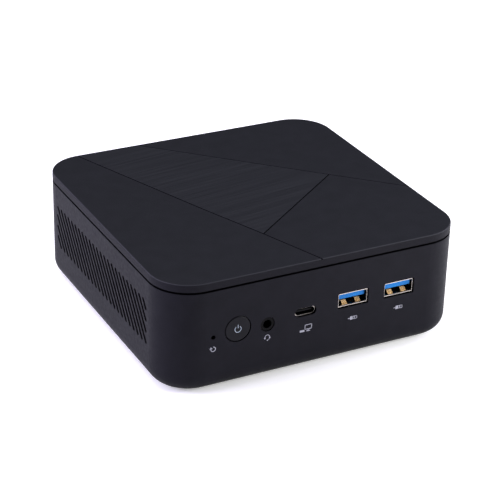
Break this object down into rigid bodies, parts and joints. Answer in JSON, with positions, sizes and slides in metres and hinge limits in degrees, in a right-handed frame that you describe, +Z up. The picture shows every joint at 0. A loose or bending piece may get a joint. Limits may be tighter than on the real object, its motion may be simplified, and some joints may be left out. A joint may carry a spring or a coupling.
{
  "type": "mini pc",
  "caption": "Small square desktop computer with rounded corners, a lift-off lid with engraved lines, slanted side vents, front ports and a power button.",
  "frame": {"origin": "on the floor, under the middle of the case", "axes": "+X to the right seen from the front, the front face towards -Y, +Z up"},
  "size_m": [0.13, 0.1274, 0.0474],
  "materials": {
    "case_plastic": "fine matt dark grey texture",
    "lid_plastic": "matt dark grey with a finely brushed field",
    "button_plastic": "satin dark grey",
    "clear_plastic": "clear, lit white",
    "rubber": "soft black",
    "steel_screw": "machined",
    "port_steel": "bright plated sheet",
    "spring_gold": "gold plated",
    "usb_blue": "blue moulding",
    "black_moulding": "black moulding",
    "white_moulding": "white moulding",
    "circuit_board": "solder-masked laminate",
    "chip_black": "moulded package",
    "capacitor_can": "bare aluminium",
    "brass_post": "turned",
    "copper": "bare copper",
    "antenna_film": "amber film over foil",
    "lead_jacket": "thin black jacket"
  },
  "bodies": {
    "case": {"antenna_leads": "lead_jacket", "audio_jack": "black_moulding", "board_capacitors": "capacitor_can", "board_chips": "chip_black", "bottom_cover": "case_plastic", "bottom_cover_screws": "steel_screw", "coin_cell": "capacitor_can", "coin_cell_holder": "black_moulding", "cold_plate": "copper", "cooler_nuts": "brass_post", "cooler_screws": "steel_screw", "cooler_springs": "steel_screw", "cpu_package": "circuit_board", "dc_in_jack": "black_moulding", "dc_in_pin": "port_steel", "drive_2_5_inch": "capacitor_can", "drive_bracket": "port_steel", "drive_ribbon": "antenna_film", "fan_bearing": "brass_post", "fan_housing": "black_moulding", "fan_screws": "steel_screw", "fan_standoffs": "brass_post", "fan_stator": "copper", "fan_top_plate": "port_steel", "fin_stack": "capacitor_can", "front_usb_fingers": "spring_gold", "front_usb_shells": "port_steel", "front_usb_tongues": "usb_blue", "heat_pipe_front": "copper", "heat_pipe_rear": "copper", "m2_socket": "black_moulding", "m2_ssd": "circuit_board", "m2_standoff": "brass_post", "main_housing": "case_plastic", "motherboard": "circuit_board", "motherboard_screws": "steel_screw", "network_jack": "port_steel", "power_chokes": "chip_black", "power_switch_body": "black_moulding", "rear_io_shield": "port_steel", "rear_usb_stacks": "port_steel", "rear_usb_tongues": "usb_blue", "reset_switch_body": "black_moulding", "rubber_feet": "rubber", "sodimm_module_lower": "circuit_board", "sodimm_module_upper": "circuit_board", "sodimm_socket": "black_moulding", "usb_c_moulding": "black_moulding", "usb_c_shell": "port_steel", "video_ports": "port_steel", "wifi_antennas": "antenna_film", "wifi_module": "circuit_board", "wifi_socket": "black_moulding"},
    "top_cover": {"top_cover": "lid_plastic"},
    "power_button": {"power_button": "button_plastic", "power_light_guide": "clear_plastic"},
    "power_switch_plunger": {"power_switch_plunger": "white_moulding"},
    "reset_switch_plunger": {"reset_switch_plunger": "white_moulding"},
    "fan_rotor": {"fan_rotor": "black_moulding", "fan_shaft": "steel_screw"}
  },
  "joints": [
    {"name": "top_cover_lift", "type": "slide", "parent": "case", "child": "top_cover", "axis": [0, 0, 1], "range_m": [0, 0.045]},
    {"name": "power_button_press", "type": "slide", "parent": "case", "child": "power_button", "axis": [0, 1, 0], "range_m": [0, 0.0005], "stiffness_N_per_m": 400},
    {"name": "power_switch_travel", "type": "slide", "parent": "case", "child": "power_switch_plunger", "axis": [0, 1, 0], "range_m": [0, 0.0005]},
    {"name": "reset_switch_press", "type": "slide", "parent": "case", "child": "reset_switch_plunger", "axis": [0, 1, 0], "range_m": [0, 0.0003], "stiffness_N_per_m": 400},
    {"name": "fan_spin", "type": "hinge", "parent": "case", "child": "fan_rotor", "pos_m": [0.019, 0, 0.036], "axis": [0, 0, 1], "continuous": true}
  ],
  "couplings": [
    {"joint": "power_switch_travel", "follows": "power_button_press", "ratio": 1}
  ]
}
